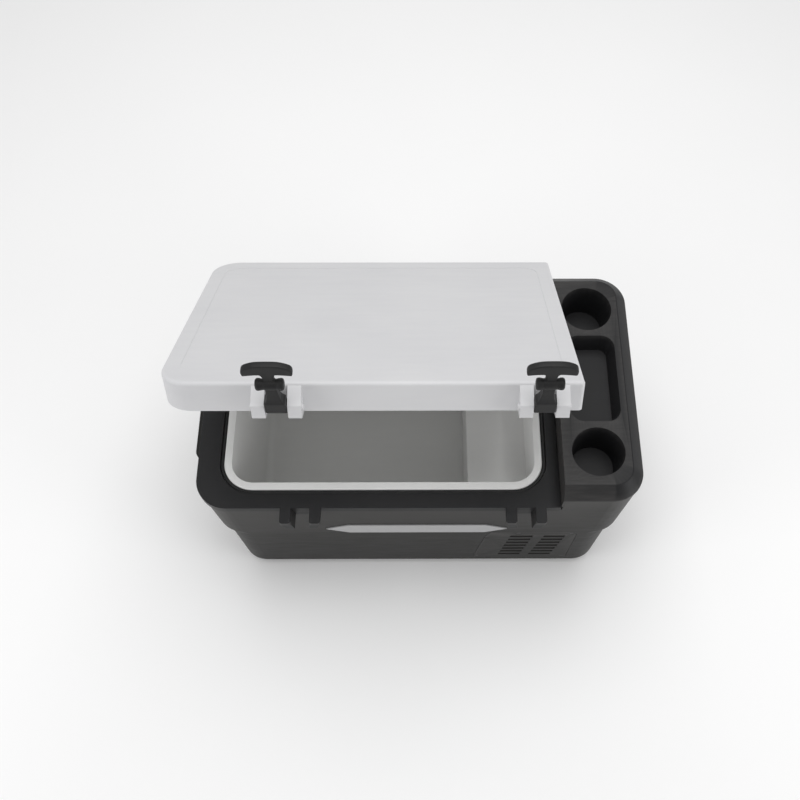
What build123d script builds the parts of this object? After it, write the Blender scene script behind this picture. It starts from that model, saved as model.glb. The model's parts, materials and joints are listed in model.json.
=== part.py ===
from build123d import *
import os

os.makedirs("parts", exist_ok=True)

# Portable compressor fridge with a hinged lid, millimetres.
# Origin: centre of the footprint on the resting plane. +X: machine end, +Y: hinge side, +Z: up.

# ---------------------------------------------------------------- driving dimensions
LENGTH = 664.0          # top rim, end to end
WIDTH = 390.0           # top rim, front to back
CORNER_R = 48.0         # plan corners of the rim
WALL = 3.0              # moulded wall of the case
FOOT_H = 8.0            # rubber foot under the case
SHELL_TOP = 278.0       # case wall ends here and the top frame starts
SEAT_Z = 292.0          # plane that the closed lid rests on
CONSOLE_X = 212.0       # left side of the raised console
CONSOLE_SEAM = 314.0    # joint between case wall and console cover
TOP_Z = 333.5           # console top, level with the closed lid
WAIST_Z = 175.0         # the ends step in below this height
SKIRT_Z = 25.0          # and once more, slightly, above the floor
OPEN_ANGLE = 30.0       # stored position of the lid
FOOT_SPAN = (540.0, 270.0)   # foot centres along and across the case
FOOT_R = 15.0
FOOT_SCREW_R = 2.2

# case outside shape: half length, half width, corner radius, height
SECTIONS = [
    (307.0, 181.5, 38.0, FOOT_H),
    (311.5, 187.0, 40.0, SKIRT_Z - 4),
    (314.5, 188.0, 42.0, SKIRT_Z),
    (317.0, 189.9, 43.5, WAIST_Z - 10),
    (328.3, 190.1, 46.6, WAIST_Z),
    (331.0, 192.5, 48.0, SHELL_TOP),
    (331.8, 193.5, 48.0, CONSOLE_SEAM),
]

# food liner
LINER_X0, LINER_X1 = -281.0, 176.0
LINER_HALF_Y = 153.5
LINER_R = 34.0
LINER_T = 2.2
LINER_TAPER = 1.0
FLOOR_Z = 57.0
SHELF_X = 80.0          # the floor rises over the machine bay right of here
SHELF_Z = 200.0
RIM_W = 11.5
GROOVE_W = 6.0
RIM_TOP = SEAT_Z - 0.6
LINER_MID_X = (LINER_X0 + LINER_X1) / 2
LINER_FLOOR_R = 14.0

# machine bay
BAY_X = 112.0
BAY_CEIL = 160.0
TOWER_X = 216.0
SHEET = 2.5

# lid hinge and latch pivots, closed-lid coordinates
HINGE_Y, HINGE_Z = 201.0, 288.0
HINGE_PIN_R = 2.5
RUN = 0.05              # running clearance on a pin
LID_X0, LID_X1 = -325.5, 210.5
LID_HALF_Y = 195.0
LID_Z0, LID_TOP = SEAT_Z + 0.4, 333.0
LATCH_X = (-174.0, 160.0)
PIVOT_Y, PIVOT_Z = -207.0, 305.0
LATCH_GAP = 28.4        # between a pair of lid lugs
LUG_W = 17.0
LUG_Y = -215.0
LATCH_REST = 114.0      # strap direction from +Y towards +Z, lid closed

LID_HINGE = Axis((0, HINGE_Y, HINGE_Z), (1, 0, 0))


def write(piece, node):
    """Label a finished builder's part and write its STEP file."""
    piece.part.label = node
    export_step(piece.part, f"parts/{node}.step")


def write_open(shape, node):
    """Swing a piece of the closed lid up to the stored angle and write it."""
    opened = shape.rotate(LID_HINGE, -OPEN_ANGLE)
    opened.label = node
    export_step(opened, f"parts/{node}.step")


def hull(inset):
    """The case's outside shape as a solid, set in by a wall thickness."""
    with BuildPart() as solid:
        for number, (half_x, half_y, radius, height) in enumerate(SECTIONS):
            lift = inset if number == 0 else 0
            with BuildSketch(Plane.XY.offset(height + lift)):
                RectangleRounded(2 * (half_x - inset), 2 * (half_y - inset), radius - inset)
        loft(ruled=True)
    return solid.part


def block(x0, x1, y0, y1, z0, z1):
    """A plain block between two corners, for cutting and keeping."""
    centre = ((x0 + x1) / 2, (y0 + y1) / 2, (z0 + z1) / 2)
    return Pos(*centre) * Box(x1 - x0, y1 - y0, z1 - z0, mode=Mode.PRIVATE)


def rod(centre, along, radius, length):
    """A plain cylinder centred on a point and lying along one axis, for pins and drilling."""
    turn = {"X": Rot(0, 90, 0), "Y": Rot(90, 0, 0), "Z": Rot(0, 0, 0)}[along]
    return Pos(*centre) * turn * Cylinder(radius, length, mode=Mode.PRIVATE)


FAR = 500.0             # past every face of the object
OUTER = hull(0)
INNER = hull(WALL)
RABBET = 2.6            # depth of the recess that the vent panel lies in
RABBET_FLOOR = hull(RABBET)
BACKING = hull(2 * WALL)
PROUD = hull(-1)        # a skin just outside the case, for cuts that must clear its face


def cavity(grow):
    """The food space, or with grow the outside of the liner's wall around it."""
    span_x = LINER_X1 - LINER_X0 + 2 * grow
    span_y = 2 * LINER_HALF_Y + 2 * grow
    with BuildPart() as space:
        with BuildSketch(Plane.XY.offset(RIM_TOP)):
            with Locations((LINER_MID_X, 0)):
                RectangleRounded(span_x, span_y, LINER_R + grow)
        extrude(amount=-(RIM_TOP - FLOOR_Z + grow), taper=LINER_TAPER)
        fillet(space.faces().sort_by(Axis.Z)[0].edges(), LINER_FLOOR_R + grow)
        add(block(SHELF_X + grow, FAR, -FAR, FAR, 0, SHELF_Z - grow), mode=Mode.SUBTRACT)
    return space.part


FOOD_SPACE = cavity(0)
LINER_OUTSIDE = cavity(LINER_T)

LINE_R = 3.0            # refrigerant tube


def pipe(points, bend, radius=LINE_R):
    """A bent tube along straight runs joined by tangent arcs."""
    with BuildPart() as tube:
        with BuildLine() as centre:
            FilletPolyline(*points, radius=bend)
        line = centre.wires()[0]
        with BuildSketch(Plane(origin=line @ 0, z_dir=line % 0)):
            Circle(radius)
        sweep(path=line)
    return tube


# ---------------------------------------------------------------- vent panel outline
VENT_OUTLINE = [(94.5, 35), (109.5, 152), (118, 170), (246, 170), (258, 158), (258, 35)]
VENT_SCREWS = [(112, 145), (163, 163), (250, 163), (100.5, 41), (251, 41)]
VENT_OPENING = [(128, 46), (140, 156), (246, 156), (246, 46)]
VENT_SCREW_R = 1.6
VENT_LAND = 6           # width of the moulded frame that the panel lies on
VENT_GAP = 0.6          # between the panel's edge and its recess
FRONT_Y, FRONT_DEPTH = 140, 70   # slab of space that holds the whole front wall


def front_layer(outline, grow, outer_solid, inner_solid):
    """A layer of the front wall inside an outline, between two of the case's shapes."""
    with BuildPart() as layer:
        with BuildSketch(Plane.XZ.offset(FRONT_Y)):
            Polygon(*outline, align=None)
            offset(amount=grow, kind=Kind.INTERSECTION)
        extrude(amount=FRONT_DEPTH)
        add(outer_solid, mode=Mode.INTERSECT)
        if inner_solid is not None:
            add(inner_solid, mode=Mode.SUBTRACT)
    return layer.part


# ---------------------------------------------------------------- case
PANEL_Z = 255.0         # centre height of the control panel on the machine end
PANEL_W, PANEL_H = 104.0, 30.0
NECK_HALF_Y, NECK_HALF_Z = PANEL_W / 2 - 5, 10.0   # the panel's neck through the wall
INLET_Z = 72.0
DC_Y, AC_Y = -62.0, -18.0
INLET_HALF_Y, INLET_HALF_Z = 13.0, 9.0
END_X0, END_X1 = 300, 360    # slab of space that holds the machine end's wall
SLOT_X, SLOT_Z = 205, 95     # middle of the warm air slots at the back

with BuildPart() as case_shell:
    add(OUTER)
    add(INNER, mode=Mode.SUBTRACT)
    add(block(-FAR, CONSOLE_X + SHEET + 0.5, -FAR, FAR, SHELL_TOP, FAR), mode=Mode.SUBTRACT)
    add(block(-FAR, FAR, -190, 190, SHELL_TOP, FAR) & INNER, mode=Mode.SUBTRACT)
    # frame behind the vent panel, its recess and its opening
    add(front_layer(VENT_OUTLINE, VENT_LAND, RABBET_FLOOR, BACKING))
    add(front_layer(VENT_OUTLINE, VENT_GAP, PROUD, RABBET_FLOOR), mode=Mode.SUBTRACT)
    add(front_layer(VENT_OPENING, 0, PROUD, hull(4 * WALL)), mode=Mode.SUBTRACT)
    for x, z in VENT_SCREWS:
        add(rod((x, -185, z), "Y", VENT_SCREW_R, 60), mode=Mode.SUBTRACT)
    # control panel window and power inlets on the machine end
    add(block(END_X0, END_X1, -NECK_HALF_Y, NECK_HALF_Y, PANEL_Z - NECK_HALF_Z, PANEL_Z + NECK_HALF_Z),
        mode=Mode.SUBTRACT)
    for y in (DC_Y, AC_Y):
        add(block(END_X0, END_X1, y - INLET_HALF_Y, y + INLET_HALF_Y,
                  INLET_Z - INLET_HALF_Z, INLET_Z + INLET_HALF_Z), mode=Mode.SUBTRACT)
    # warm air leaves through slots at the back of the machine bay
    with BuildSketch(Plane.XZ.offset(-150)):
        with Locations((SLOT_X, SLOT_Z)):
            with GridLocations(60, 11, 2, 9):
                SlotOverall(50, 4.5)
    extrude(amount=-60, mode=Mode.SUBTRACT)
    # screw holes for the feet
    with BuildSketch(Plane.XY):
        with GridLocations(*FOOT_SPAN, 2, 2):
            Circle(FOOT_SCREW_R)
    extrude(amount=30, mode=Mode.SUBTRACT)
write(case_shell, "case_shell")

# ---------------------------------------------------------------- top frame with keeper tabs
FRAME_T = SEAT_Z - SHELL_TOP
GROOVE = RIM_W + GROOVE_W
TAB_Y = -219.0
TAB_T = 8.0
TAB_ROOT = -190.0       # the tabs start inside the frame's edge
SLOT_W = 27.4
KEEPER_W = 60.0

with BuildPart() as top_frame:
    with BuildSketch(Plane.XY.offset(SHELL_TOP)):
        RectangleRounded(LENGTH, WIDTH, CORNER_R)
        with Locations((CONSOLE_X + FAR / 2, 0)):
            Rectangle(FAR, FAR, mode=Mode.SUBTRACT)
        with Locations((LINER_MID_X, 0)):
            RectangleRounded(
                LINER_X1 - LINER_X0 + 2 * GROOVE,
                2 * (LINER_HALF_Y + GROOVE),
                LINER_R + GROOVE,
                mode=Mode.SUBTRACT,
            )
    extrude(amount=FRAME_T)
    with BuildSketch(Plane.XY.offset(SEAT_Z)) as tabs:
        for x in LATCH_X:
            with Locations((x, (TAB_Y + TAB_ROOT) / 2)):
                Rectangle(KEEPER_W, TAB_ROOT - TAB_Y)
                Rectangle(SLOT_W, TAB_ROOT - TAB_Y, mode=Mode.SUBTRACT)
            with Locations((x, TAB_ROOT - 2.5)):
                Rectangle(KEEPER_W, 5)
        outer_tips = [v for v in tabs.vertices() if v.Y < TAB_Y + 0.1]
        fillet(outer_tips, 4)
    extrude(amount=-TAB_T)
    rim = [e for e in top_frame.edges() if abs(e.center().Z - SEAT_Z) < 0.01]
    fillet(rim, 0.8)
write(top_frame, "top_frame")

# ---------------------------------------------------------------- latch keepers
KEEPER_Z0 = 262.2
KEEPER_Z1 = SEAT_Z - TAB_T
KEEPER_Y = TAB_Y + 1.5
KEEPER_TAPER = 15.0     # the block narrows towards its lower end
SLOT_TAPER = 6.4
KEEPER_NOSE_R = 4.0     # lets the latch's roll swing past
SLOT_BACK = -193.0

for side, x in zip(("left", "right"), LATCH_X):
    with BuildPart() as keeper:
        with BuildSketch(Plane.XY.offset(KEEPER_Z1)):
            with Locations((x, (KEEPER_Y - 150) / 2)):
                Rectangle(KEEPER_W - 2, -150 - KEEPER_Y)
        with BuildSketch(Plane.XY.offset(KEEPER_Z0)):
            with Locations((x, (KEEPER_Y - 150) / 2)):
                Rectangle(KEEPER_W - 2 - KEEPER_TAPER, -150 - KEEPER_Y)
        loft()
        with BuildSketch(Plane.XY.offset(KEEPER_Z1 + 1)):
            with Locations((x, (KEEPER_Y + SLOT_BACK) / 2 - 5)):
                Rectangle(SLOT_W, SLOT_BACK - KEEPER_Y + 10)
        with BuildSketch(Plane.XY.offset(KEEPER_Z0 - 1)):
            with Locations((x, (KEEPER_Y + SLOT_BACK) / 2 - 5)):
                Rectangle(SLOT_W - SLOT_TAPER, SLOT_BACK - KEEPER_Y + 10)
        loft(mode=Mode.SUBTRACT)
        add(OUTER, mode=Mode.SUBTRACT)
        add(block(-FAR, FAR, -195, 0, SHELL_TOP, SEAT_Z), mode=Mode.SUBTRACT)
        nose = [e for e in keeper.edges()
                if e.center().Z < KEEPER_Z0 + 0.1 and e.center().Y < KEEPER_Y + 0.1]
        fillet(nose, KEEPER_NOSE_R)
    write(keeper, f"latch_keeper_{side}")

# ---------------------------------------------------------------- console cover
CUP_X, CUP_YS = 264.6, (-123.1, 124.3)
CUP_R, CUP_FLOOR_R, CUP_DEPTH = 39.2, 32.5, 55.0
TRAY_X, TRAY_Y = 265.5, 0.8
TRAY_W, TRAY_L, TRAY_DEPTH = 75.0, 148.5, 30.0
BEVEL = 18.5            # how far the flat top is set in from the side
COVER_T = 3.0
WELL_T = 2.5            # wall of the cup wells and the tray
TRAY_R = 20.0
TRAY_TAPER = 13.0


def cover_form(inset):
    """The bevelled console top as a solid over the whole length, set in by a wall."""
    with BuildPart() as form:
        levels = ((CONSOLE_SEAM - 1, 0), (CONSOLE_SEAM + 3, 0.6), (TOP_Z - inset, BEVEL))
        for height, step in levels:
            edge = step + inset
            with BuildSketch(Plane.XY.offset(height)):
                RectangleRounded(LENGTH - 2 * edge, WIDTH - 2 * edge, CORNER_R - edge)
        loft(ruled=True)
        if inset == 0:
            top_loop = form.faces().sort_by(Axis.Z)[-1].edges()
            fillet(top_loop, 3)
    return form.part


with BuildPart() as console_cover:
    add(cover_form(0))
    add(block(-FAR, CONSOLE_X, -FAR, FAR, 0, FAR), mode=Mode.SUBTRACT)
    add(block(-FAR, FAR, -FAR, FAR, 0, CONSOLE_SEAM), mode=Mode.SUBTRACT)
    hollow = cover_form(COVER_T) & block(CONSOLE_X + COVER_T, FAR, -FAR, FAR, 0, FAR)
    add(hollow, mode=Mode.SUBTRACT)
    # left wall down to the seat
    add(block(CONSOLE_X, CONSOLE_X + COVER_T, -194, 194, SEAT_Z, CONSOLE_SEAM + 2))
    # cup wells and the tray between them
    for y in CUP_YS:
        well = Cone(CUP_FLOOR_R + WELL_T, CUP_R + WELL_T, CUP_DEPTH + 2.4, mode=Mode.PRIVATE)
        add(Pos(CUP_X, y, TOP_Z - CUP_DEPTH / 2 - 1.3) * well)
    with BuildSketch(Plane.XY.offset(TOP_Z - 1)):
        with Locations((TRAY_X, TRAY_Y)):
            RectangleRounded(TRAY_W + 2 * WELL_T, TRAY_L + 2 * WELL_T, TRAY_R + 2)
    extrude(amount=-TRAY_DEPTH - 1.5, taper=TRAY_TAPER)
    for y in CUP_YS:
        space = Cone(CUP_FLOOR_R, CUP_R, CUP_DEPTH, mode=Mode.PRIVATE)
        add(Pos(CUP_X, y, TOP_Z - CUP_DEPTH / 2) * space, mode=Mode.SUBTRACT)
    with BuildSketch(Plane.XY.offset(TOP_Z)):
        with Locations((TRAY_X, TRAY_Y)):
            RectangleRounded(TRAY_W, TRAY_L, TRAY_R)
    extrude(amount=-TRAY_DEPTH, taper=TRAY_TAPER, mode=Mode.SUBTRACT)
write(console_cover, "console_cover")

# ---------------------------------------------------------------- food liner
with BuildPart() as food_liner:
    add(LINER_OUTSIDE)
    with BuildSketch(Plane.XY.offset(RIM_TOP)):
        with Locations((LINER_MID_X, 0)):
            RectangleRounded(
                LINER_X1 - LINER_X0 + 2 * RIM_W, 2 * (LINER_HALF_Y + RIM_W), LINER_R + RIM_W
            )
    extrude(amount=-5)
    with BuildSketch(Plane.XY.offset(RIM_TOP - 8)):
        with Locations((LINER_MID_X, 0)):
            RectangleRounded(
                LINER_X1 - LINER_X0 + 2 * GROOVE - 0.4,
                2 * (LINER_HALF_Y + GROOVE) - 0.4,
                LINER_R + GROOVE - 0.2,
            )
    extrude(amount=3)
    fillet(food_liner.faces().sort_by(Axis.Z)[-1].outer_wire().edges(), 2)
    add(FOOD_SPACE, mode=Mode.SUBTRACT)
write(food_liner, "food_liner")

# ---------------------------------------------------------------- machine bay partition
profile = [
    (BAY_X, 0),
    (BAY_X, BAY_CEIL),
    (TOWER_X, BAY_CEIL),
    (TOWER_X, SHELL_TOP - 3),
    (TOWER_X - SHEET, SHELL_TOP - 3),
    (TOWER_X - SHEET, BAY_CEIL + SHEET),
    (BAY_X - SHEET, BAY_CEIL + SHEET),
    (BAY_X - SHEET, 0),
]
with BuildPart() as bay_partition:
    with BuildSketch(Plane.XZ.offset(-FAR / 2)):
        Polygon(*profile, align=None)
    extrude(amount=FAR)
    add(INNER, mode=Mode.INTERSECT)
    add(front_layer(VENT_OUTLINE, VENT_LAND + 2, PROUD, hull(3 * WALL)), mode=Mode.SUBTRACT)
write(bay_partition, "bay_partition")

# ---------------------------------------------------------------- evaporator round the liner
BAND_T = 1.0
BAND_Z0, BAND_Z1 = 206.0, 262.0
TUBE_R = 3.0
EVAP_LOOPS = 3
LOOP_PITCH = 18.0
LOOP_BEND = 38.0
SENSOR_X, SENSOR_Z = 40.0, 180.0

with BuildPart() as evaporator_band:
    add(cavity(LINER_T + BAND_T))
    add(LINER_OUTSIDE, mode=Mode.SUBTRACT)
    add(block(-FAR, FAR, -FAR, FAR, 0, BAND_Z0), mode=Mode.SUBTRACT)
    add(block(-FAR, FAR, -FAR, FAR, BAND_Z1, FAR), mode=Mode.SUBTRACT)
write(evaporator_band, "evaporator_band")

with BuildPart() as evaporator_tube:
    grow = LINER_T + BAND_T + TUBE_R + 0.3
    x0, x1 = LINER_X0 - grow, LINER_X1 + grow
    y1 = LINER_HALF_Y + grow
    for number in range(EVAP_LOOPS):
        height = BAND_Z0 + 10 + LOOP_PITCH * number
        corners = [(x1, 14), (x1, y1), (x0, y1), (x0, -y1), (x1, -y1), (x1, -14)]
        loop = pipe([(x, y, height) for x, y in corners], LOOP_BEND, TUBE_R)
        add(loop.part)
write(evaporator_tube, "evaporator_tube")

with BuildPart() as temperature_sensor:
    with BuildSketch(Plane.XZ.offset(-(LINER_HALF_Y + LINER_T + 6))):
        with Locations((SENSOR_X, SENSOR_Z)):
            RectangleRounded(28, 12, 3)
    extrude(amount=-7)
write(temperature_sensor, "temperature_sensor")

# ---------------------------------------------------------------- insulation
with BuildPart() as case_foam:
    add(INNER)
    add(block(-FAR, FAR, -FAR, FAR, SHELL_TOP - 0.5, FAR), mode=Mode.SUBTRACT)
    add(block(BAY_X - SHEET, FAR, -FAR, FAR, 0, BAY_CEIL + SHEET), mode=Mode.SUBTRACT)
    add(block(TOWER_X - SHEET, FAR, -FAR, FAR, 0, SHELL_TOP), mode=Mode.SUBTRACT)
    add(LINER_OUTSIDE, mode=Mode.SUBTRACT)
    add(evaporator_band.part, mode=Mode.SUBTRACT)
    add(evaporator_tube.part, mode=Mode.SUBTRACT)
    add(temperature_sensor.part, mode=Mode.SUBTRACT)
    add(front_layer(VENT_OUTLINE, VENT_LAND + 2, PROUD, hull(3 * WALL)), mode=Mode.SUBTRACT)
    for x in LATCH_X:
        add(block(x - 32, x + 32, -FAR, -176, 250, FAR), mode=Mode.SUBTRACT)
write(case_foam, "case_foam")

# ---------------------------------------------------------------- compressor
COMP_X, COMP_Y = 212.0, 62.0
COMP_Z0 = 30.0
COMP_W, COMP_L, COMP_H = 104.0, 132.0, 112.0
PLATE_Z = FOOT_H + WALL
BOLT_SPAN = (120.0, 140.0)   # the can's feet stand on rubber grommets at these centres
BOLT_R = 3.0
STUB_X = COMP_X + 16
DISCHARGE_Y, SUCTION_Y = COMP_Y - 22, COMP_Y + 22

with BuildPart() as compressor_tray:
    with BuildSketch(Plane.XY.offset(PLATE_Z + 0.2)):
        with Locations((COMP_X, COMP_Y)):
            RectangleRounded(150, 170, 10)
            with GridLocations(*BOLT_SPAN, 2, 2):
                Circle(BOLT_R + 0.2, mode=Mode.SUBTRACT)
    extrude(amount=2)
write(compressor_tray, "compressor_tray")

with BuildPart() as compressor_can:
    with BuildSketch(Plane.XY.offset(COMP_Z0)):
        with Locations((COMP_X, COMP_Y)):
            Ellipse(COMP_W / 2, COMP_L / 2)
    extrude(amount=COMP_H)
    fillet(compressor_can.faces().sort_by(Axis.Z)[-1].edges(), 22)
    fillet(compressor_can.faces().sort_by(Axis.Z)[0].edges(), 16)
    # rolled weld seam, feet and tube stubs
    with BuildSketch(Plane.XY.offset(COMP_Z0 + COMP_H * 0.45)):
        with Locations((COMP_X, COMP_Y)):
            Ellipse(COMP_W / 2 + 3, COMP_L / 2 + 3)
    extrude(amount=4)
    with BuildSketch(Plane.XY.offset(COMP_Z0 - 3)):
        with Locations((COMP_X, COMP_Y)):
            RectangleRounded(134, 44, 10)
            RectangleRounded(44, 156, 10)
            with GridLocations(*BOLT_SPAN, 2, 2):
                Circle(13)
                Circle(7.1, mode=Mode.SUBTRACT)
            Rectangle(110, 122)
    extrude(amount=3)
    with BuildSketch(Plane.XY.offset(COMP_Z0 + COMP_H - 8)):
        with Locations((STUB_X, SUCTION_Y), (STUB_X, DISCHARGE_Y)):
            Circle(4)
    extrude(amount=16)
write(compressor_can, "compressor_can")

with BuildPart() as grommets:
    with BuildSketch(Plane.XY.offset(PLATE_Z + 2.2)):
        with Locations((COMP_X, COMP_Y)):
            with GridLocations(*BOLT_SPAN, 2, 2):
                Circle(11)
                Circle(BOLT_R + 0.1, mode=Mode.SUBTRACT)
    extrude(amount=COMP_Z0 - 3 - PLATE_Z - 2.2)
    with BuildSketch(Plane.XY.offset(COMP_Z0 - 3)):
        with Locations((COMP_X, COMP_Y)):
            with GridLocations(*BOLT_SPAN, 2, 2):
                Circle(7)
                Circle(BOLT_R + 0.1, mode=Mode.SUBTRACT)
    extrude(amount=5)
write(grommets, "grommets")

with BuildPart() as grommet_bolts:
    with BuildSketch(Plane.XY.offset(PLATE_Z + 0.2)):
        with Locations((COMP_X, COMP_Y)):
            with GridLocations(*BOLT_SPAN, 2, 2):
                Circle(BOLT_R)
    extrude(amount=COMP_Z0 + 2 - PLATE_Z - 0.2)
    with BuildSketch(Plane.XY.offset(COMP_Z0 + 2)):
        with Locations((COMP_X, COMP_Y)):
            with GridLocations(*BOLT_SPAN, 2, 2):
                RegularPolygon(6.5, 6)
    extrude(amount=4)
write(grommet_bolts, "grommet_bolts")

with BuildPart() as terminal_cover:
    with BuildSketch(Plane.XY.offset(COMP_Z0 + 18)):
        with Locations((COMP_X + COMP_W / 2 + 14, COMP_Y)):
            RectangleRounded(26, 48, 4)
    extrude(amount=54)
    add(compressor_can.part, mode=Mode.SUBTRACT)
write(terminal_cover, "terminal_cover")

# ---------------------------------------------------------------- condenser and fan
COND_X, COND_Z = 190.0, 92.0
COND_Y0, COND_DEPTH = -160.0, 24.0
FIN_COUNT, FIN_PITCH, FIN_T = 24, 4.2, 0.8
FIN_H = 104.0
COND_TUBE_R = 3.5
ROWS = 4
ROW_PITCH = 25.0

with BuildPart() as condenser_fins:
    with BuildSketch(Plane.YZ.offset(COND_X - FIN_PITCH * (FIN_COUNT - 1) / 2)):
        with Locations((COND_Y0 + COND_DEPTH / 2, COND_Z)):
            Rectangle(COND_DEPTH, FIN_H)
            with GridLocations(1, ROW_PITCH, 1, ROWS):
                Circle(COND_TUBE_R + 0.05, mode=Mode.SUBTRACT)
    fin = extrude(amount=FIN_T)
    with Locations(*[(FIN_PITCH * n, 0, 0) for n in range(1, FIN_COUNT)]):
        add(fin)
write(condenser_fins, "condenser_fins")

half_run = FIN_PITCH * FIN_COUNT / 2 + 6
tube_y = COND_Y0 + COND_DEPTH / 2
row_z = [COND_Z + ROW_PITCH * (n - (ROWS - 1) / 2) for n in range(ROWS)]
with BuildPart() as condenser_tube:
    with BuildLine(Plane.XZ.offset(-tube_y)) as serpentine:
        points = []
        for number, z in enumerate(row_z):
            ends = (-half_run - 12, half_run + 12)
            ends = ends if number % 2 == 1 else ends[::-1]
            points += [(COND_X + end, z) for end in ends]
        FilletPolyline(*points, radius=ROW_PITCH / 2 - 0.2)
    route = serpentine.wires()[0]
    with BuildSketch(Plane(origin=route @ 0, z_dir=route % 0)):
        Circle(COND_TUBE_R)
    sweep(path=route)
write(condenser_tube, "condenser_tube")

FAN_Y0 = COND_Y0 + COND_DEPTH + 3
FAN_W, FAN_T = 92.0, 25.0
FAN_BORE_R = 43.0
FAN_HOLES = 82.5        # screw centres of a 92 mm fan
HUB_R = 18.0
BLADES = 7
SPINDLE_R = 1.5

with BuildPart() as fan_frame:
    with BuildSketch(Plane.XZ.offset(-FAN_Y0 - FAN_T)):
        with Locations((COND_X, COND_Z)):
            RectangleRounded(FAN_W, FAN_W, 5)
            Circle(FAN_BORE_R, mode=Mode.SUBTRACT)
            with GridLocations(FAN_HOLES, FAN_HOLES, 2, 2):
                Circle(2.2, mode=Mode.SUBTRACT)
    extrude(amount=FAN_T)
    with BuildSketch(Plane.XZ.offset(-FAN_Y0 - FAN_T)):
        with Locations((COND_X, COND_Z)):
            Circle(HUB_R)
            with PolarLocations((FAN_BORE_R + HUB_R) / 2, 4, start_angle=45):
                Rectangle(FAN_BORE_R - HUB_R + 6, 5)
    extrude(amount=3)
    with BuildSketch(Plane.XZ.offset(-FAN_Y0 - FAN_T + 3)):
        with Locations((COND_X, COND_Z)):
            Circle(SPINDLE_R)
    extrude(amount=14)
write(fan_frame, "fan_frame")

with BuildPart() as fan_rotor:
    with BuildSketch(Plane.XZ.offset(-FAN_Y0 - FAN_T + 4)):
        with Locations((COND_X, COND_Z)):
            Circle(HUB_R)
            Circle(SPINDLE_R + RUN, mode=Mode.SUBTRACT)
    extrude(amount=FAN_T - 6)
    for number in range(BLADES):
        turn = Rot(0, 360 / BLADES * number, 0)
        blade = Pos(COND_X, FAN_Y0 + FAN_T / 2 - 1, COND_Z) * turn
        blade = blade * Pos((HUB_R + FAN_BORE_R) / 2 - 1.5, 0, 0) * Rot(38, 0, 0)
        add(blade * Box(FAN_BORE_R - HUB_R + 1, 22, 1.6, mode=Mode.PRIVATE))
write(fan_rotor, "fan_rotor")

with BuildPart() as fan_screws:
    with BuildSketch(Plane.XZ.offset(-FAN_Y0 - FAN_T)):
        with Locations((COND_X, COND_Z)):
            with GridLocations(FAN_HOLES, FAN_HOLES, 2, 2):
                Circle(2.0)
    extrude(amount=FAN_T + 2)
    with BuildSketch(Plane.XZ.offset(-FAN_Y0 - FAN_T - 3)):
        with Locations((COND_X, COND_Z)):
            with GridLocations(FAN_HOLES, FAN_HOLES, 2, 2):
                Circle(3.8)
    extrude(amount=3)
write(fan_screws, "fan_screws")

# ---------------------------------------------------------------- refrigerant lines
DRIER_X, DRIER_Y, DRIER_Z = 298.0, -100.0, 76.0
DRIER_H, DRIER_R = 78.0, 10.0
RISE_Z = 190.0          # the discharge line crosses the bay at this height
SUCTION_Z, CAPILLARY_Z = 236.0, 215.0

stub_z = COMP_Z0 + COMP_H + 8
cond_end_x = COND_X + half_run + 12
riser_x = 285.0

discharge_line = pipe(
    [
        (STUB_X, DISCHARGE_Y, stub_z),
        (STUB_X, DISCHARGE_Y, RISE_Z),
        (riser_x, DISCHARGE_Y, RISE_Z),
        (riser_x, tube_y, RISE_Z),
        (riser_x, tube_y, row_z[-1]),
        (cond_end_x, tube_y, row_z[-1]),
    ],
    12,
)
write(discharge_line, "discharge_line")

suction_line = pipe(
    [
        (STUB_X, SUCTION_Y, stub_z),
        (STUB_X, SUCTION_Y, SUCTION_Z),
        (TOWER_X, SUCTION_Y, SUCTION_Z),
    ],
    7,
)
write(suction_line, "suction_line")

liquid_line = pipe(
    [
        (cond_end_x, tube_y, row_z[0]),
        (DRIER_X, tube_y, row_z[0]),
        (DRIER_X, DRIER_Y, row_z[0]),
        (DRIER_X, DRIER_Y, DRIER_Z),
    ],
    12,
)
write(liquid_line, "liquid_line")

capillary_line = pipe(
    [
        (DRIER_X, DRIER_Y, DRIER_Z + DRIER_H),
        (DRIER_X, DRIER_Y, CAPILLARY_Z),
        (TOWER_X, DRIER_Y, CAPILLARY_Z),
    ],
    15,
    1.4,
)
write(capillary_line, "capillary_line")

with BuildPart() as filter_drier:
    with BuildSketch(Plane.XZ.offset(-DRIER_Y)):
        with BuildLine():
            Polyline(
                (DRIER_X, DRIER_Z),
                (DRIER_X + 4, DRIER_Z),
                (DRIER_X + 4, DRIER_Z + 6),
                (DRIER_X + DRIER_R, DRIER_Z + 16),
                (DRIER_X + DRIER_R, DRIER_Z + DRIER_H - 16),
                (DRIER_X + 3, DRIER_Z + DRIER_H - 6),
                (DRIER_X + 3, DRIER_Z + DRIER_H),
                (DRIER_X, DRIER_Z + DRIER_H),
                close=True,
            )
        make_face()
    revolve(axis=Axis((DRIER_X, DRIER_Y, 0), (0, 0, 1)))
write(filter_drier, "filter_drier")

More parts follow.
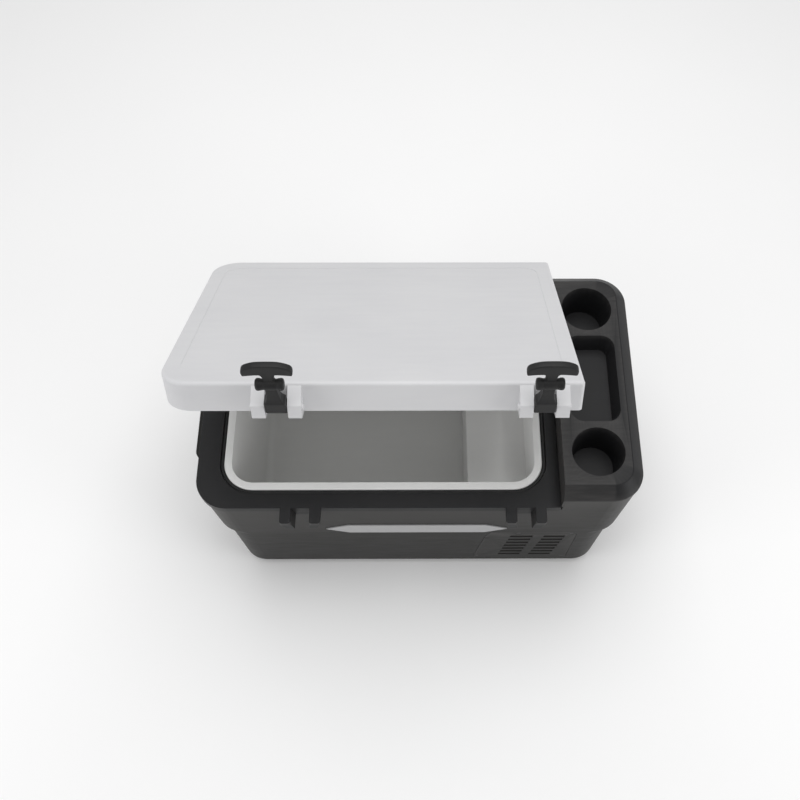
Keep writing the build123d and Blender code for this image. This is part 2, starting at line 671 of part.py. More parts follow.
# ---------------------------------------------------------------- control board
BOARD_X, BOARD_Z = 308.0, 205.0
with BuildPart() as control_board:
    with BuildSketch(Plane.YZ.offset(BOARD_X)):
        with Locations((8, BOARD_Z)):
            Rectangle(92, 54)
            with GridLocations(84, 46, 2, 2):
                Circle(1.7, mode=Mode.SUBTRACT)
    extrude(amount=1.6)
    with BuildSketch(Plane.YZ.offset(BOARD_X - 10)):
        with Locations((-14, BOARD_Z + 8)):
            Rectangle(26, 18)
    extrude(amount=10)
    with BuildSketch(Plane.YZ.offset(BOARD_X - 14)):
        with Locations((14, BOARD_Z + 10), (26, BOARD_Z + 10), (38, BOARD_Z + 10)):
            Circle(4.8)
    extrude(amount=14)
    with BuildSketch(Plane.YZ.offset(BOARD_X - 6)):
        with Locations((-16, BOARD_Z - 16), (14, BOARD_Z - 16)):
            Rectangle(22, 8)
    extrude(amount=6)
write(control_board, "control_board")

# ---------------------------------------------------------------- control panel
BUTTON_R = 4.5
BUTTON_YS = (16.0, 29.0, 42.0)
DISPLAY_Y = -20.0
PANEL_X0, PANEL_X1 = 328.0, 334.0
LENS_HALF_Y, LENS_HALF_Z, LENS_T = 21.0, 8.0, 1.6
PLUG_X0 = 324.0
FLANGE_R = 5.6
FLANGE_X, FLANGE_T = PLUG_X0 - 2.2, 1.9   # keeps the button in, behind the panel
BUTTON_PROUD = 1.4

with BuildPart() as control_panel:
    with BuildSketch(Plane.YZ.offset(PANEL_X0)):
        with Locations((0, PANEL_Z)):
            RectangleRounded(PANEL_W, PANEL_H, 5)
    extrude(amount=PANEL_X1 - PANEL_X0)
    front_loop = control_panel.faces().sort_by(Axis.X)[-1].edges()
    chamfer(front_loop, 0.8)
    add(OUTER, mode=Mode.SUBTRACT)
    add(block(PLUG_X0, 332, -NECK_HALF_Y, NECK_HALF_Y, PANEL_Z - NECK_HALF_Z, PANEL_Z + NECK_HALF_Z))
    with BuildSketch(Plane.YZ.offset(PLUG_X0)):
        with Locations(*[(y, PANEL_Z) for y in BUTTON_YS]):
            Circle(BUTTON_R + 0.2)
    extrude(amount=20, mode=Mode.SUBTRACT)
    add(block(PANEL_X1 - LENS_T, PANEL_X1 + 1, DISPLAY_Y - LENS_HALF_Y, DISPLAY_Y + LENS_HALF_Y,
              PANEL_Z - LENS_HALF_Z, PANEL_Z + LENS_HALF_Z), mode=Mode.SUBTRACT)
write(control_panel, "control_panel")

with BuildPart() as display_lens:
    half_y, half_z = LENS_HALF_Y - 0.2, LENS_HALF_Z - 0.2
    add(block(PANEL_X1 - LENS_T, PANEL_X1 - 0.2, DISPLAY_Y - half_y, DISPLAY_Y + half_y,
              PANEL_Z - half_z, PANEL_Z + half_z))
write(display_lens, "display_lens")

for name, y in zip(("power", "down", "up"), BUTTON_YS):
    with BuildPart() as button:
        with BuildSketch(Plane.YZ.offset(FLANGE_X)):
            with Locations((y, PANEL_Z)):
                Circle(BUTTON_R)
        extrude(amount=PANEL_X1 + BUTTON_PROUD - FLANGE_X)
        fillet(button.faces().sort_by(Axis.X)[-1].edges(), 0.7)
        with BuildSketch(Plane.YZ.offset(FLANGE_X)):
            with Locations((y, PANEL_Z)):
                Circle(FLANGE_R)
        extrude(amount=FLANGE_T)
    write(button, f"button_{name}")

# ---------------------------------------------------------------- power inlets
for node, y, hole_w, hole_h in (("dc_inlet", DC_Y, 17, 9), ("ac_inlet", AC_Y, 15, 8)):
    with BuildPart() as inlet:
        with BuildSketch(Plane.YZ.offset(310)):
            with Locations((y, INLET_Z)):
                RectangleRounded(34, 26, 4)
        extrude(amount=8)
        add(OUTER, mode=Mode.SUBTRACT)
        add(block(298, 316.2, y - INLET_HALF_Y, y + INLET_HALF_Y,
                  INLET_Z - INLET_HALF_Z, INLET_Z + INLET_HALF_Z))
        with BuildSketch(Plane.YZ.offset(302)):
            with Locations((y, INLET_Z)):
                RectangleRounded(hole_w, hole_h, 3)
        extrude(amount=30, mode=Mode.SUBTRACT)
        with BuildSketch(Plane.YZ.offset(301)):
            with Locations((y - 4, INLET_Z), (y + 4, INLET_Z)):
                Circle(1.1)
        extrude(amount=9)
    write(inlet, node)

# ---------------------------------------------------------------- side handles
HANDLE_X = 357.0
HANDLE_HALF = 86.0
HANDLE_Z0, HANDLE_Z1 = 203.0, 229.5
HANDLE_MID_Z = (HANDLE_Z0 + HANDLE_Z1) / 2
HAND_HALF = 46.0
HAND_X0, HAND_X1 = 333.5, 346.0
HANDLE_SCREW_Y = 66.0
HANDLE_SCREW_R, HANDLE_HEAD_R = 2.5, 5.0

for side, sign in (("left", -1), ("right", 1)):
    with BuildPart() as side_handle:
        with BuildSketch(Plane.XY.offset(HANDLE_Z1)) as plan:
            with Locations((sign * (HANDLE_X - 20), 0)):
                Rectangle(40, 2 * HANDLE_HALF)
            tips = [v for v in plan.vertices() if abs(v.X) > HANDLE_X - 1]
            fillet(tips, 15)
            with Locations((sign * (HAND_X0 + HAND_X1) / 2, 0)):
                SlotOverall(2 * HAND_HALF, HAND_X1 - HAND_X0, rotation=90, mode=Mode.SUBTRACT)
        extrude(amount=-(HANDLE_Z1 - HANDLE_Z0))
        upper = [e for e in side_handle.edges()
                 if abs(e.center().Z - HANDLE_Z1) < 0.01 or abs(e.center().Z - HANDLE_Z0) < 0.01]
        fillet(upper, 2.5)
        add(OUTER, mode=Mode.SUBTRACT)
        for y in (-HANDLE_SCREW_Y, HANDLE_SCREW_Y):
            hole = rod((sign * 345, y, HANDLE_MID_Z), "X", HANDLE_SCREW_R + 0.1, 60)
            recess = rod((sign * (HANDLE_X - 4), y, HANDLE_MID_Z), "X", HANDLE_HEAD_R + 0.4, 8.1)
            add(hole, mode=Mode.SUBTRACT)
            add(recess, mode=Mode.SUBTRACT)
    write(side_handle, f"side_handle_{side}")

with BuildPart() as handle_screws:
    for sign in (-1, 1):
        for y in (-HANDLE_SCREW_Y, HANDLE_SCREW_Y):
            add(rod((sign * 337, y, HANDLE_MID_Z), "X", HANDLE_SCREW_R, 24))
            add(rod((sign * 350.7, y, HANDLE_MID_Z), "X", HANDLE_HEAD_R, 3.4))
            add(rod((sign * 352, y, HANDLE_MID_Z), "X", 2.4, 3), mode=Mode.SUBTRACT)
write(handle_screws, "handle_screws")

# ---------------------------------------------------------------- vent panel and screws
LOUVRES = 7
LOUVRE_GROUPS = [((151, 188), (138, 176)), ((206, 241), (191, 229))]
LOUVRE_TOP, LOUVRE_LOW = 153.0, 50.0
LOUVRE_H = 9.0
SLAT_T, SLAT_W, SLAT_TILT = 1.4, 12.5, -42
PITCH = (LOUVRE_TOP - LOUVRE_LOW - LOUVRE_H) / (LOUVRES - 1)


def wall_y(z):
    """Front face of the case at a height, found on the straight runs between sections."""
    for low, high in zip(SECTIONS, SECTIONS[1:]):
        if low[3] <= z <= high[3]:
            share = (z - low[3]) / (high[3] - low[3])
            return -(low[1] + share * (high[1] - low[1]))
    return -SECTIONS[-1][1]


def slanted(top, low, z):
    """Left and right ends of a slanted louvre group at a height."""
    share = (z - LOUVRE_LOW) / (LOUVRE_TOP - LOUVRE_LOW)
    return [low[n] + share * (top[n] - low[n]) for n in (0, 1)]


with BuildPart() as vent_panel:
    add(front_layer(VENT_OUTLINE, 0, OUTER, RABBET_FLOOR))
    for top, low in LOUVRE_GROUPS:
        for number in range(LOUVRES):
            z0 = LOUVRE_LOW + PITCH * number
            z1 = z0 + LOUVRE_H
            left0, right0 = slanted(top, low, z0)
            left1, right1 = slanted(top, low, z1)
            with BuildSketch(Plane.XZ.offset(150)):
                Polygon((left0, z0), (right0, z0), (right1, z1), (left1, z1), align=None)
            extrude(amount=60, mode=Mode.SUBTRACT)
            mid = (z0 + z1) / 2
            slat = Pos((left0 + right1) / 2, wall_y(mid) + 4.5, mid) * Rot(SLAT_TILT, 0, 0)
            slat = slat * Box(right0 - left0 + 3, SLAT_T, SLAT_W, mode=Mode.PRIVATE)
            room = [(left0 - 1, z0 - 4), (right0 + 1, z0 - 4), (right1 + 1, z1 + 4), (left1 - 1, z1 + 4)]
            add(slat & front_layer(room, 0, OUTER, hull(3 * WALL)))
    for x, z in VENT_SCREWS:
        add(rod((x, wall_y(z), z), "Y", VENT_SCREW_R + 0.1, 20), mode=Mode.SUBTRACT)
        add(rod((x, wall_y(z) - 8.5, z), "Y", 4.0, 20), mode=Mode.SUBTRACT)
write(vent_panel, "vent_panel")

with BuildPart() as vent_screws:
    for x, z in VENT_SCREWS:
        face = wall_y(z)
        add(rod((x, face + 5.6, z), "Y", VENT_SCREW_R, 9))
        add(rod((x, face + 0.8, z), "Y", 3.6, 1.2))
        add(block(x - 2.4, x + 2.4, face - 1, face + 0.7, z - 0.5, z + 0.5), mode=Mode.SUBTRACT)
write(vent_screws, "vent_screws")

# ---------------------------------------------------------------- front badge plate
BADGE = [(-147, 193), (-111, 210), (106, 210), (141, 193), (106, 176), (-111, 176)]
BADGE_T = 1.6
with BuildPart() as badge_plate:
    add(front_layer(BADGE, 0, hull(-BADGE_T), OUTER))
write(badge_plate, "badge_plate")

# ---------------------------------------------------------------- feet
with BuildPart() as rubber_feet:
    with BuildSketch(Plane.XY):
        with GridLocations(*FOOT_SPAN, 2, 2):
            Circle(FOOT_R)
    extrude(amount=FOOT_H, taper=-6)
    fillet(rubber_feet.edges().group_by(Axis.Z)[0], 1.5)
    with GridLocations(*FOOT_SPAN, 2, 2):
        Cylinder(5, FOOT_H, mode=Mode.SUBTRACT)
        Cylinder(FOOT_SCREW_R, 30, mode=Mode.SUBTRACT)
write(rubber_feet, "rubber_feet")

with BuildPart() as foot_screws:
    with BuildSketch(Plane.XY.offset(4)):
        with GridLocations(*FOOT_SPAN, 2, 2):
            Circle(FOOT_SCREW_R)
    extrude(amount=7)
    with BuildSketch(Plane.XY.offset(1.6)):
        with GridLocations(*FOOT_SPAN, 2, 2):
            Circle(2 * FOOT_SCREW_R)
    extrude(amount=2.4)
write(foot_screws, "foot_screws")

# ---------------------------------------------------------------- hinges, base half
HINGE_XS = {"left": -205.0, "right": 90.0}
KNUCKLE_R = 5.0
LEAF_W = 62.0
LEAF_T = 3.0
KNUCKLE = 15.0          # outer knuckles; the lid leaf's knuckle fills the middle
KNUCKLE_GAP = 0.5
LEAF_LOW, LEAF_HIGH = 246.0, 284.0   # upper and lower edge of the base leaf
LEAF_Y0, LEAF_Y1 = 186.0, 198.0
LEAF_SCREW_X = 20.0
LEAF_SCREW_R = 2.1
BASE_SCREW_Z, LID_SCREW_Z = 262.0, 316.0
BORE_START_R = 0.5      # knuckles are made nearly solid, then drilled with the leaf


def knuckle(x0, x1, bore_r):
    """A barrel round the hinge axis between two stations, with its bore."""
    with BuildPart() as barrel:
        with BuildSketch(Plane.YZ.offset(x0)):
            with Locations((HINGE_Y, HINGE_Z)):
                Circle(KNUCKLE_R)
                Circle(bore_r, mode=Mode.SUBTRACT)
        extrude(amount=x1 - x0)
    return barrel.part


for side, x in HINGE_XS.items():
    half = LEAF_W / 2
    with BuildPart() as hinge_base:
        with BuildSketch(Plane.XZ.offset(-LEAF_Y0)):
            with Locations((x, (LEAF_LOW + LEAF_HIGH) / 2)):
                RectangleRounded(LEAF_W, LEAF_HIGH - LEAF_LOW, 4)
        extrude(amount=-(LEAF_Y1 - LEAF_Y0))
        add(OUTER, mode=Mode.SUBTRACT)
        add(block(-FAR, FAR, 0, 195, SHELL_TOP, FAR), mode=Mode.SUBTRACT)
        for x0 in (x - half, x + half - KNUCKLE):
            add(block(x0, x0 + KNUCKLE, 195, HINGE_Y, 280, HINGE_Z))
            add(knuckle(x0, x0 + KNUCKLE, BORE_START_R))
            drill = rod((x0 + KNUCKLE / 2, HINGE_Y, HINGE_Z), "X", HINGE_PIN_R, KNUCKLE + 1)
            add(drill, mode=Mode.SUBTRACT)
        for dx in (-LEAF_SCREW_X, LEAF_SCREW_X):
            add(rod((x + dx, 195, BASE_SCREW_Z), "Y", LEAF_SCREW_R, 20), mode=Mode.SUBTRACT)
    write(hinge_base, f"hinge_base_{side}")

with BuildPart() as hinge_pins:
    for x in HINGE_XS.values():
        add(rod((x, HINGE_Y, HINGE_Z), "X", HINGE_PIN_R, LEAF_W + 2))
write(hinge_pins, "hinge_pins")

with BuildPart() as hinge_screws_base:
    for x in HINGE_XS.values():
        for dx in (-LEAF_SCREW_X, LEAF_SCREW_X):
            add(rod((x + dx, 193, BASE_SCREW_Z), "Y", LEAF_SCREW_R, 10))
            add(rod((x + dx, 199, BASE_SCREW_Z), "Y", 4.0, 2))
write(hinge_screws_base, "hinge_screws_base")

# ---------------------------------------------------------------- lid, drawn closed
LID_WALL = 3.4
LID_TOP_R = 5.0
PAN_Z = 285.0
PLATE_UNDER = 298.0
PLATE_T = 2.5
LID_MID_X = (LID_X0 + LID_X1) / 2
LID_LEN = LID_X1 - LID_X0
LID_CORNER_R, LID_SQUARE_R = 42.0, 5.0   # left and console-side corners
PAD_HALF_X, PAD_Y0, PAD_Y1 = 34.0, -193.0, -184.0   # solid pad behind each latch
LUG_TOP, LUG_CREST = 311.0, 329.0
PANEL_IN_X, PANEL_IN_Y, PANEL_R, PANEL_SINK = 23.0, 27.0, 22.0, 0.5   # shallow field on top
SCOOP_R = 22.6


def lid_plan(inset):
    """Lid outline: round corners at the left end, nearly square at the console end."""
    with BuildSketch() as plan:
        with Locations((LID_MID_X, 0)):
            Rectangle(LID_LEN - 2 * inset, 2 * (LID_HALF_Y - inset))
        fillet([v for v in plan.vertices() if v.X < 0], LID_CORNER_R - inset)
        square = [v for v in plan.vertices() if v.X > LID_X1 - inset - 1]
        fillet(square, max(LID_SQUARE_R - inset, 1.5))
    return plan.sketch


with BuildPart() as lid_shell:
    with BuildSketch(Plane.XY.offset(LID_Z0)):
        add(lid_plan(0))
    extrude(amount=LID_TOP - LID_Z0)
    fillet(lid_shell.faces().sort_by(Axis.Z)[-1].edges(), LID_TOP_R)
    with BuildSketch(Plane.XY.offset(LID_Z0)):
        add(lid_plan(LID_WALL))
    extrude(amount=LID_TOP - LID_WALL - LID_Z0, mode=Mode.SUBTRACT)
    with BuildSketch(Plane.XY.offset(LID_TOP)):
        with Locations((LID_MID_X, 0)):
            RectangleRounded(LID_LEN - 2 * PANEL_IN_X, 2 * (LID_HALF_Y - PANEL_IN_Y), PANEL_R)
    extrude(amount=-PANEL_SINK, mode=Mode.SUBTRACT)
    for x in LATCH_X:
        # pad behind the latch, a pair of lugs and the scoop between them
        add(block(x - PAD_HALF_X, x + PAD_HALF_X, PAD_Y0, PAD_Y1, PLATE_UNDER + PLATE_T, LID_TOP - 3))
        for sign in (-1, 1):
            near = x + sign * LATCH_GAP / 2
            with BuildSketch(Plane.YZ.offset(min(near, near + sign * LUG_W))) as lug:
                Polygon((PAD_Y0, LID_Z0 + 0.3), (LUG_Y, LID_Z0 + 0.3), (LUG_Y, LUG_TOP),
                        (-LID_HALF_Y, LUG_CREST), (PAD_Y0, LUG_CREST), align=None)
                nose = [v for v in lug.vertices() if v.X < LUG_Y + 1]
                fillet(nose, 2.5)
            extrude(amount=LUG_W)
        scoop = rod((x, -LID_HALF_Y - 20, PIVOT_Z), "Z", SCOOP_R, 80)
        add(scoop & block(x - 14, x + 14, -LID_HALF_Y - 0.1, -190, 0, FAR), mode=Mode.SUBTRACT)
        add(rod((x, PIVOT_Y, PIVOT_Z), "X", HINGE_PIN_R, 64), mode=Mode.SUBTRACT)
write_open(lid_shell.part, "lid_shell")

with BuildPart() as lid_liner:
    with BuildSketch(Plane.XY.offset(PLATE_UNDER)):
        add(lid_plan(LID_WALL))
    extrude(amount=PLATE_T)
    with BuildSketch(Plane.XY.offset(PLATE_UNDER)):
        with Locations((LINER_MID_X, 0)):
            RectangleRounded(LINER_X1 - LINER_X0 - 18, 2 * LINER_HALF_Y - 18, 28)
    extrude(amount=-(PLATE_UNDER - PAN_Z), taper=8)
    fillet(lid_liner.faces().sort_by(Axis.Z)[0].edges(), 4)
    with BuildSketch(Plane.XY.offset(PLATE_UNDER + PLATE_T)):
        with Locations((LINER_MID_X, 0)):
            RectangleRounded(LINER_X1 - LINER_X0 - 24, 2 * LINER_HALF_Y - 24, 26)
    extrude(amount=-(PLATE_UNDER - PAN_Z), taper=8, mode=Mode.SUBTRACT)
write_open(lid_liner.part, "lid_liner")

with BuildPart() as lid_foam:
    with BuildSketch(Plane.XY.offset(PLATE_UNDER + PLATE_T)):
        add(lid_plan(LID_WALL))
    extrude(amount=LID_TOP - LID_WALL - PLATE_UNDER - PLATE_T)
    with BuildSketch(Plane.XY.offset(PLATE_UNDER + PLATE_T)):
        with Locations((LINER_MID_X, 0)):
            RectangleRounded(LINER_X1 - LINER_X0 - 24, 2 * LINER_HALF_Y - 24, 26)
    extrude(amount=-(PLATE_UNDER - PAN_Z), taper=8)
    for x in LATCH_X:
        add(block(x - PAD_HALF_X, x + PAD_HALF_X, PAD_Y0, PAD_Y1, PAN_Z, LID_TOP), mode=Mode.SUBTRACT)
write_open(lid_foam.part, "lid_foam")

GASKET_W, GASKET_LOW = 9.0, SEAT_Z - 0.2
with BuildPart() as lid_gasket:
    with BuildSketch(Plane.XY.offset(PLATE_UNDER)):
        with Locations((LINER_MID_X, 0)):
            RectangleRounded(LINER_X1 - LINER_X0 + 2 * RIM_W - 2, 2 * (LINER_HALF_Y + RIM_W) - 2,
                             LINER_R + RIM_W - 1)
            RectangleRounded(LINER_X1 - LINER_X0 + 2 * RIM_W - 2 - 2 * GASKET_W,
                             2 * (LINER_HALF_Y + RIM_W) - 2 - 2 * GASKET_W,
                             LINER_R + RIM_W - 1 - GASKET_W, mode=Mode.SUBTRACT)
    extrude(amount=-(PLATE_UNDER - GASKET_LOW))
    fillet(lid_gasket.edges().group_by(Axis.Z)[0], 2.5)
write_open(lid_gasket.part, "lid_gasket")

# hinge leaves on the lid
for side, x in HINGE_XS.items():
    reach = LEAF_W / 2 - KNUCKLE - KNUCKLE_GAP
    with BuildPart() as hinge_leaf:
        add(block(x - LEAF_W / 2, x + LEAF_W / 2, LID_HALF_Y, LID_HALF_Y + LEAF_T, 297, 327))
        leaf_corners = hinge_leaf.edges().filter_by(Axis.Y)
        fillet(leaf_corners, 4)
        add(block(x - reach, x + reach, 195.4, HINGE_Y, HINGE_Z, 300))
        add(knuckle(x - reach, x + reach, BORE_START_R))
        add(rod((x, HINGE_Y, HINGE_Z), "X", HINGE_PIN_R + RUN, LEAF_W), mode=Mode.SUBTRACT)
        for dx in (-LEAF_SCREW_X, LEAF_SCREW_X):
            add(rod((x + dx, 196, LID_SCREW_Z), "Y", LEAF_SCREW_R, 20), mode=Mode.SUBTRACT)
    write_open(hinge_leaf.part, f"hinge_leaf_{side}")

with BuildPart() as hinge_screws_lid:
    for x in HINGE_XS.values():
        for dx in (-LEAF_SCREW_X, LEAF_SCREW_X):
            add(rod((x + dx, 193, LID_SCREW_Z), "Y", LEAF_SCREW_R, 10))
            add(rod((x + dx, 199, LID_SCREW_Z), "Y", 4.0, 2))
write_open(hinge_screws_lid.part, "hinge_screws_lid")

# ---------------------------------------------------------------- latch pins and T latches
with BuildPart() as latch_pins:
    for x in LATCH_X:
        add(rod((x, PIVOT_Y, PIVOT_Z), "X", HINGE_PIN_R, LATCH_GAP + 2 * LUG_W))
        for sign in (-1, 1):
            cap_x = x + sign * (LATCH_GAP / 2 + LUG_W + 1)
            add(rod((cap_x, PIVOT_Y, PIVOT_Z), "X", 4.5, 2))
write_open(latch_pins.part, "latch_pins")

LATCH_W = 26.6
BARREL_R = 8.5
STRAP_T = 9.0
BARREL_SIDE, NECK_SIDE, STEM_SIDE = 12.2, 9.0, 6.5   # half widths of strap, neck and stem
BARB_AT, BARB_R, BARB_W = 51.3, 7.5, 34.5   # the roll that hooks under the keeper
T_HALF = 30.0
T_LOW, T_TOP = 64.0, 87.0

for side, x in zip(("left", "right"), LATCH_X):
    lean = Rot(LATCH_REST - 90, 0, 0)
    frame = Pos(x, PIVOT_Y, PIVOT_Z) * lean
    with BuildPart() as latch:
        with BuildSketch(Plane.XZ.offset(-STRAP_T / 2)):
            Polygon((-BARREL_SIDE, 0), (-NECK_SIDE, 43), (-NECK_SIDE, 50),
                    (NECK_SIDE, 50), (NECK_SIDE, 43), (BARREL_SIDE, 0), align=None)
        extrude(amount=STRAP_T)
        with BuildSketch(Plane.XZ.offset(-STRAP_T / 2)) as grip:
            Polygon((-STEM_SIDE, 48), (-STEM_SIDE, T_LOW + 1), (-T_HALF + 2, T_LOW - 2),
                    (-T_HALF, T_LOW + 8), (-T_HALF + 3, T_TOP - 6), (-NECK_SIDE, T_TOP),
                    (NECK_SIDE, T_TOP), (T_HALF - 3, T_TOP - 6), (T_HALF, T_LOW + 8),
                    (T_HALF - 2, T_LOW - 2), (STEM_SIDE, T_LOW + 1), (STEM_SIDE, 48), align=None)
            inner_bends = [v for v in grip.vertices() if abs(v.Y - T_LOW - 1) < 0.1]
            fillet(inner_bends, 5)
        extrude(amount=STRAP_T)
        soft = [e for e in latch.edges() if e.center().Z > T_LOW - 2]
        fillet([e for e in soft if abs(abs(e.center().Y) - STRAP_T / 2) < 0.01], 1.6)
        with BuildSketch(Plane.YZ.offset(-BARB_W / 2)):
            with Locations((0, BARB_AT)):
                Circle(BARB_R)
        extrude(amount=BARB_W)
        with BuildSketch(Plane.YZ.offset(-LATCH_W / 2)):
            Circle(BARREL_R)
        extrude(amount=LATCH_W)
        with BuildSketch(Plane.YZ.offset(-LATCH_W)):
            Circle(HINGE_PIN_R + RUN)
        extrude(amount=2 * LATCH_W, mode=Mode.SUBTRACT)
    write_open(frame * latch.part, f"latch_{side}")
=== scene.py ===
# %% [markdown]
# # A portable compressor fridge
# The moving parts, sizes and positions of this fridge come ready-made as a fixed frame.
# What is left for Blender is how it looks: the rubber latches, soft moulded edges,
# and the finish of every surface. Each cell below makes one thing and says why it is made that way.
# All lengths are in metres.

# %% Load the fixed frame
import json
from math import radians

import bpy
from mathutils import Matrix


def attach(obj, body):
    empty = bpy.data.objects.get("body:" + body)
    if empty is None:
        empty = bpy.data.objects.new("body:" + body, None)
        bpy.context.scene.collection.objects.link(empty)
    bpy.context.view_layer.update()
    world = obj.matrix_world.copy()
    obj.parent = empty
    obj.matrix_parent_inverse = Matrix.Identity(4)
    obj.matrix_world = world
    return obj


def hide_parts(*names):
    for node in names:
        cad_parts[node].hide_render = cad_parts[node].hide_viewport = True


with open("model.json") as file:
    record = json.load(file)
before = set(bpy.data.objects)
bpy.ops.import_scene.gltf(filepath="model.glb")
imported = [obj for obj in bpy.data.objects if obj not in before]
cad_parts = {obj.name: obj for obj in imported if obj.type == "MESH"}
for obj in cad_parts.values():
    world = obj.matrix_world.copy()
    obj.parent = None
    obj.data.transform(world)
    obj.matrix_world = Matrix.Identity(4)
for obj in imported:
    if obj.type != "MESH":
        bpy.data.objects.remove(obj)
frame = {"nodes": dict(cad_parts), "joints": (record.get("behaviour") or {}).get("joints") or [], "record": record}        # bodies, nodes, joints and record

MM = 0.001
NODES = frame["nodes"]
JOINTS = {joint["name"]: joint for joint in frame["joints"]}
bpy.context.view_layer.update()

# %% [markdown]
# ## Camera
# The viewer stands in front of the fridge and looks steeply down into it, so the lid's top, the
# console and the front are all seen at once. The lens is a normal one. Its shift moves the fridge
# to its place in the picture without changing the perspective.

# %% Camera
EYE = (0.0107, -0.6252, 1.3899)
LOOK_DOWN = radians(21.04)      # away from straight down
CAMERA_ROLL, CAMERA_YAW = radians(-0.16), radians(-0.20)

bpy.ops.object.camera_add(location=EYE, rotation=(LOOK_DOWN, CAMERA_ROLL, CAMERA_YAW))
camera = bpy.context.object
camera.name = "studio_camera"
camera.data.lens = 35.94
camera.data.shift_x = -0.0354
camera.data.shift_y = 0.1411
bpy.context.scene.camera = camera
print("camera height:", round(camera.location.z, 3))

# %% [markdown]
# ## Light
# Dark plastic shows little of its own colour: what the eye sees is mostly a soft reflection of a
# bright room. So the world is white, and three large soft lamps add direction: the strongest hangs
# above, so that everything that faces up is lighter than what faces the viewer, and two low ones
# at the left and the right draw soft highlights on the rounded corners of the case.

# %% Light
def softbox(name, place, turn, width, power):
    """A large square lamp at a place, turned by angles in degrees from straight down."""
    bpy.ops.object.light_add(type="AREA", location=place, rotation=[radians(a) for a in turn])
    lamp = bpy.context.object
    lamp.name = name
    lamp.data.shape = "SQUARE"
    lamp.data.size = width
    lamp.data.energy = power
    return lamp


softbox("lamp_left", (-2.2, -1.0, 0.9), (35, -72, 0), 1.2, 15)
softbox("lamp_above", (0.1, 0.5, 2.7), (-10, 0, 0), 2.4, 44)
softbox("lamp_right", (2.2, -1.0, 0.9), (35, 72, 0), 1.2, 15)

world = bpy.data.worlds.new("white_room")
world.use_nodes = True
world.node_tree.nodes["Background"].inputs["Color"].default_value = (1.0, 1.0, 1.0, 1)
world.node_tree.nodes["Background"].inputs["Strength"].default_value = 0.42
bpy.context.scene.world = world
bpy.context.scene.view_settings.view_transform = "Standard"

# %% [markdown]
# ## Sums on shader sockets
# A finish is a sum: a base tone, plus a little noise, minus some wear. Written as nodes such a sum
# is long and hard to read. This small class wraps one socket, so that plain Python arithmetic adds
# the Math nodes. Its `node` method adds any other kind of node.

# %% Shader sums
class Wire:
    """One output socket of a material. Arithmetic with it adds Math nodes."""

    def __init__(self, tree, socket):
        self.tree = tree
        self.socket = socket

    def node(self, kind, settings, inputs, output=0):
        """Add a node: its settings first, then the value or the wire of each socket."""
        new = self.tree.nodes.new(kind)
        stops = settings.get("stops", ())
        for key, value in settings.items():
            if key != "stops":
                setattr(new, key, value)
        for number, (position, shade) in enumerate(stops):
            if number > 1:
                new.color_ramp.elements.new(position)
            new.color_ramp.elements[number].position = position
            new.color_ramp.elements[number].color = (shade, shade, shade, 1)
        for key, value in inputs.items():
            if isinstance(value, Wire):
                self.tree.links.new(value.socket, new.inputs[key])
            else:
                new.inputs[key].default_value = value
        return Wire(self.tree, new.outputs[output])

    def math(self, operation, first, second):
        return self.node("ShaderNodeMath", {"operation": operation}, {0: first, 1: second})

    def __add__(self, other):
        return self.math("ADD", self, other)

    def __radd__(self, other):
        return self.math("ADD", other, self)

    def __sub__(self, other):
        return self.math("SUBTRACT", self, other)

    def __rsub__(self, other):
        return self.math("SUBTRACT", other, self)

    def __mul__(self, other):
        return self.math("MULTIPLY", self, other)

    def __rmul__(self, other):
        return self.math("MULTIPLY", other, self)

    def noise(self, scale, detail=3.0, rough=0.5):
        """Cloudy values about 0.5, with this wire as the place."""
        sockets = {"Vector": self, "Scale": scale, "Detail": detail, "Roughness": rough}
        return self.node("ShaderNodeTexNoise", {}, sockets)

    def cells(self, scale, feature="F1"):
        """Distance to scattered points, which looks like bubbles or pebbles."""
        settings = {"feature": feature}
        return self.node("ShaderNodeTexVoronoi", settings, {"Vector": self, "Scale": scale})

    def stretched(self, x, y, z):
        """This place, pulled out along the axes with a small number."""
        return self.node("ShaderNodeMapping", {}, {"Vector": self, "Scale": (x, y, z)})

    def ramp(self, *stops):
        """This value through a grey ramp of (position, shade) stops."""
        return self.node("ShaderNodeValToRGB", {"stops": stops}, {"Fac": self})

    def blend(self, first, second):
        """A colour between two, by this value."""
        colours = {0: self, 6: first, 7: second}
        return self.node("ShaderNodeMix", {"data_type": "RGBA"}, colours, output=2)


print("shader sums ready")

# %% [markdown]
# ## Starting and closing a finish
# Every finish starts the same way: a material whose fixed sockets are set once, and the object's
# own coordinates, so that a pattern stays with its piece when the piece moves. It closes the same
# way too: colour, roughness and a fine relief through a Bump node.

# %% Material helpers
def rgb(red, green, blue):
    return (red, green, blue, 1)


def start_finish(name, **fixed):
    """A material with its fixed shader sockets set, its shader and its object coordinates."""
    material = bpy.data.materials.new(name)
    material.use_nodes = True
    tree = material.node_tree
    shader = tree.nodes["Principled BSDF"]
    for socket, value in fixed.items():
        shader.inputs[socket.replace("_", " ")].default_value = value
    place = Wire(tree, tree.nodes.new("ShaderNodeTexCoord").outputs["Object"])
    return material, shader, place


def close_finish(shader, colour, roughness, relief, depth):
    """Wire up what varies over the surface: colour, roughness and a relief of some depth."""
    tree = colour.tree
    tree.links.new(colour.socket, shader.inputs["Base Color"])
    tree.links.new(roughness.socket, shader.inputs["Roughness"])
    bump = relief.node("ShaderNodeBump", {}, {"Height": relief, "Distance": depth, "Strength": 1.0})
    tree.links.new(bump.socket, shader.inputs["Normal"])


def edges_of(place, low=0.52, high=0.60):
    """1 on worn outer edges and 0 elsewhere."""
    point = place.node("ShaderNodeNewGeometry", {}, {}, output=7)
    return point.ramp((low, 0), (high, 1))


print("material helpers ready")

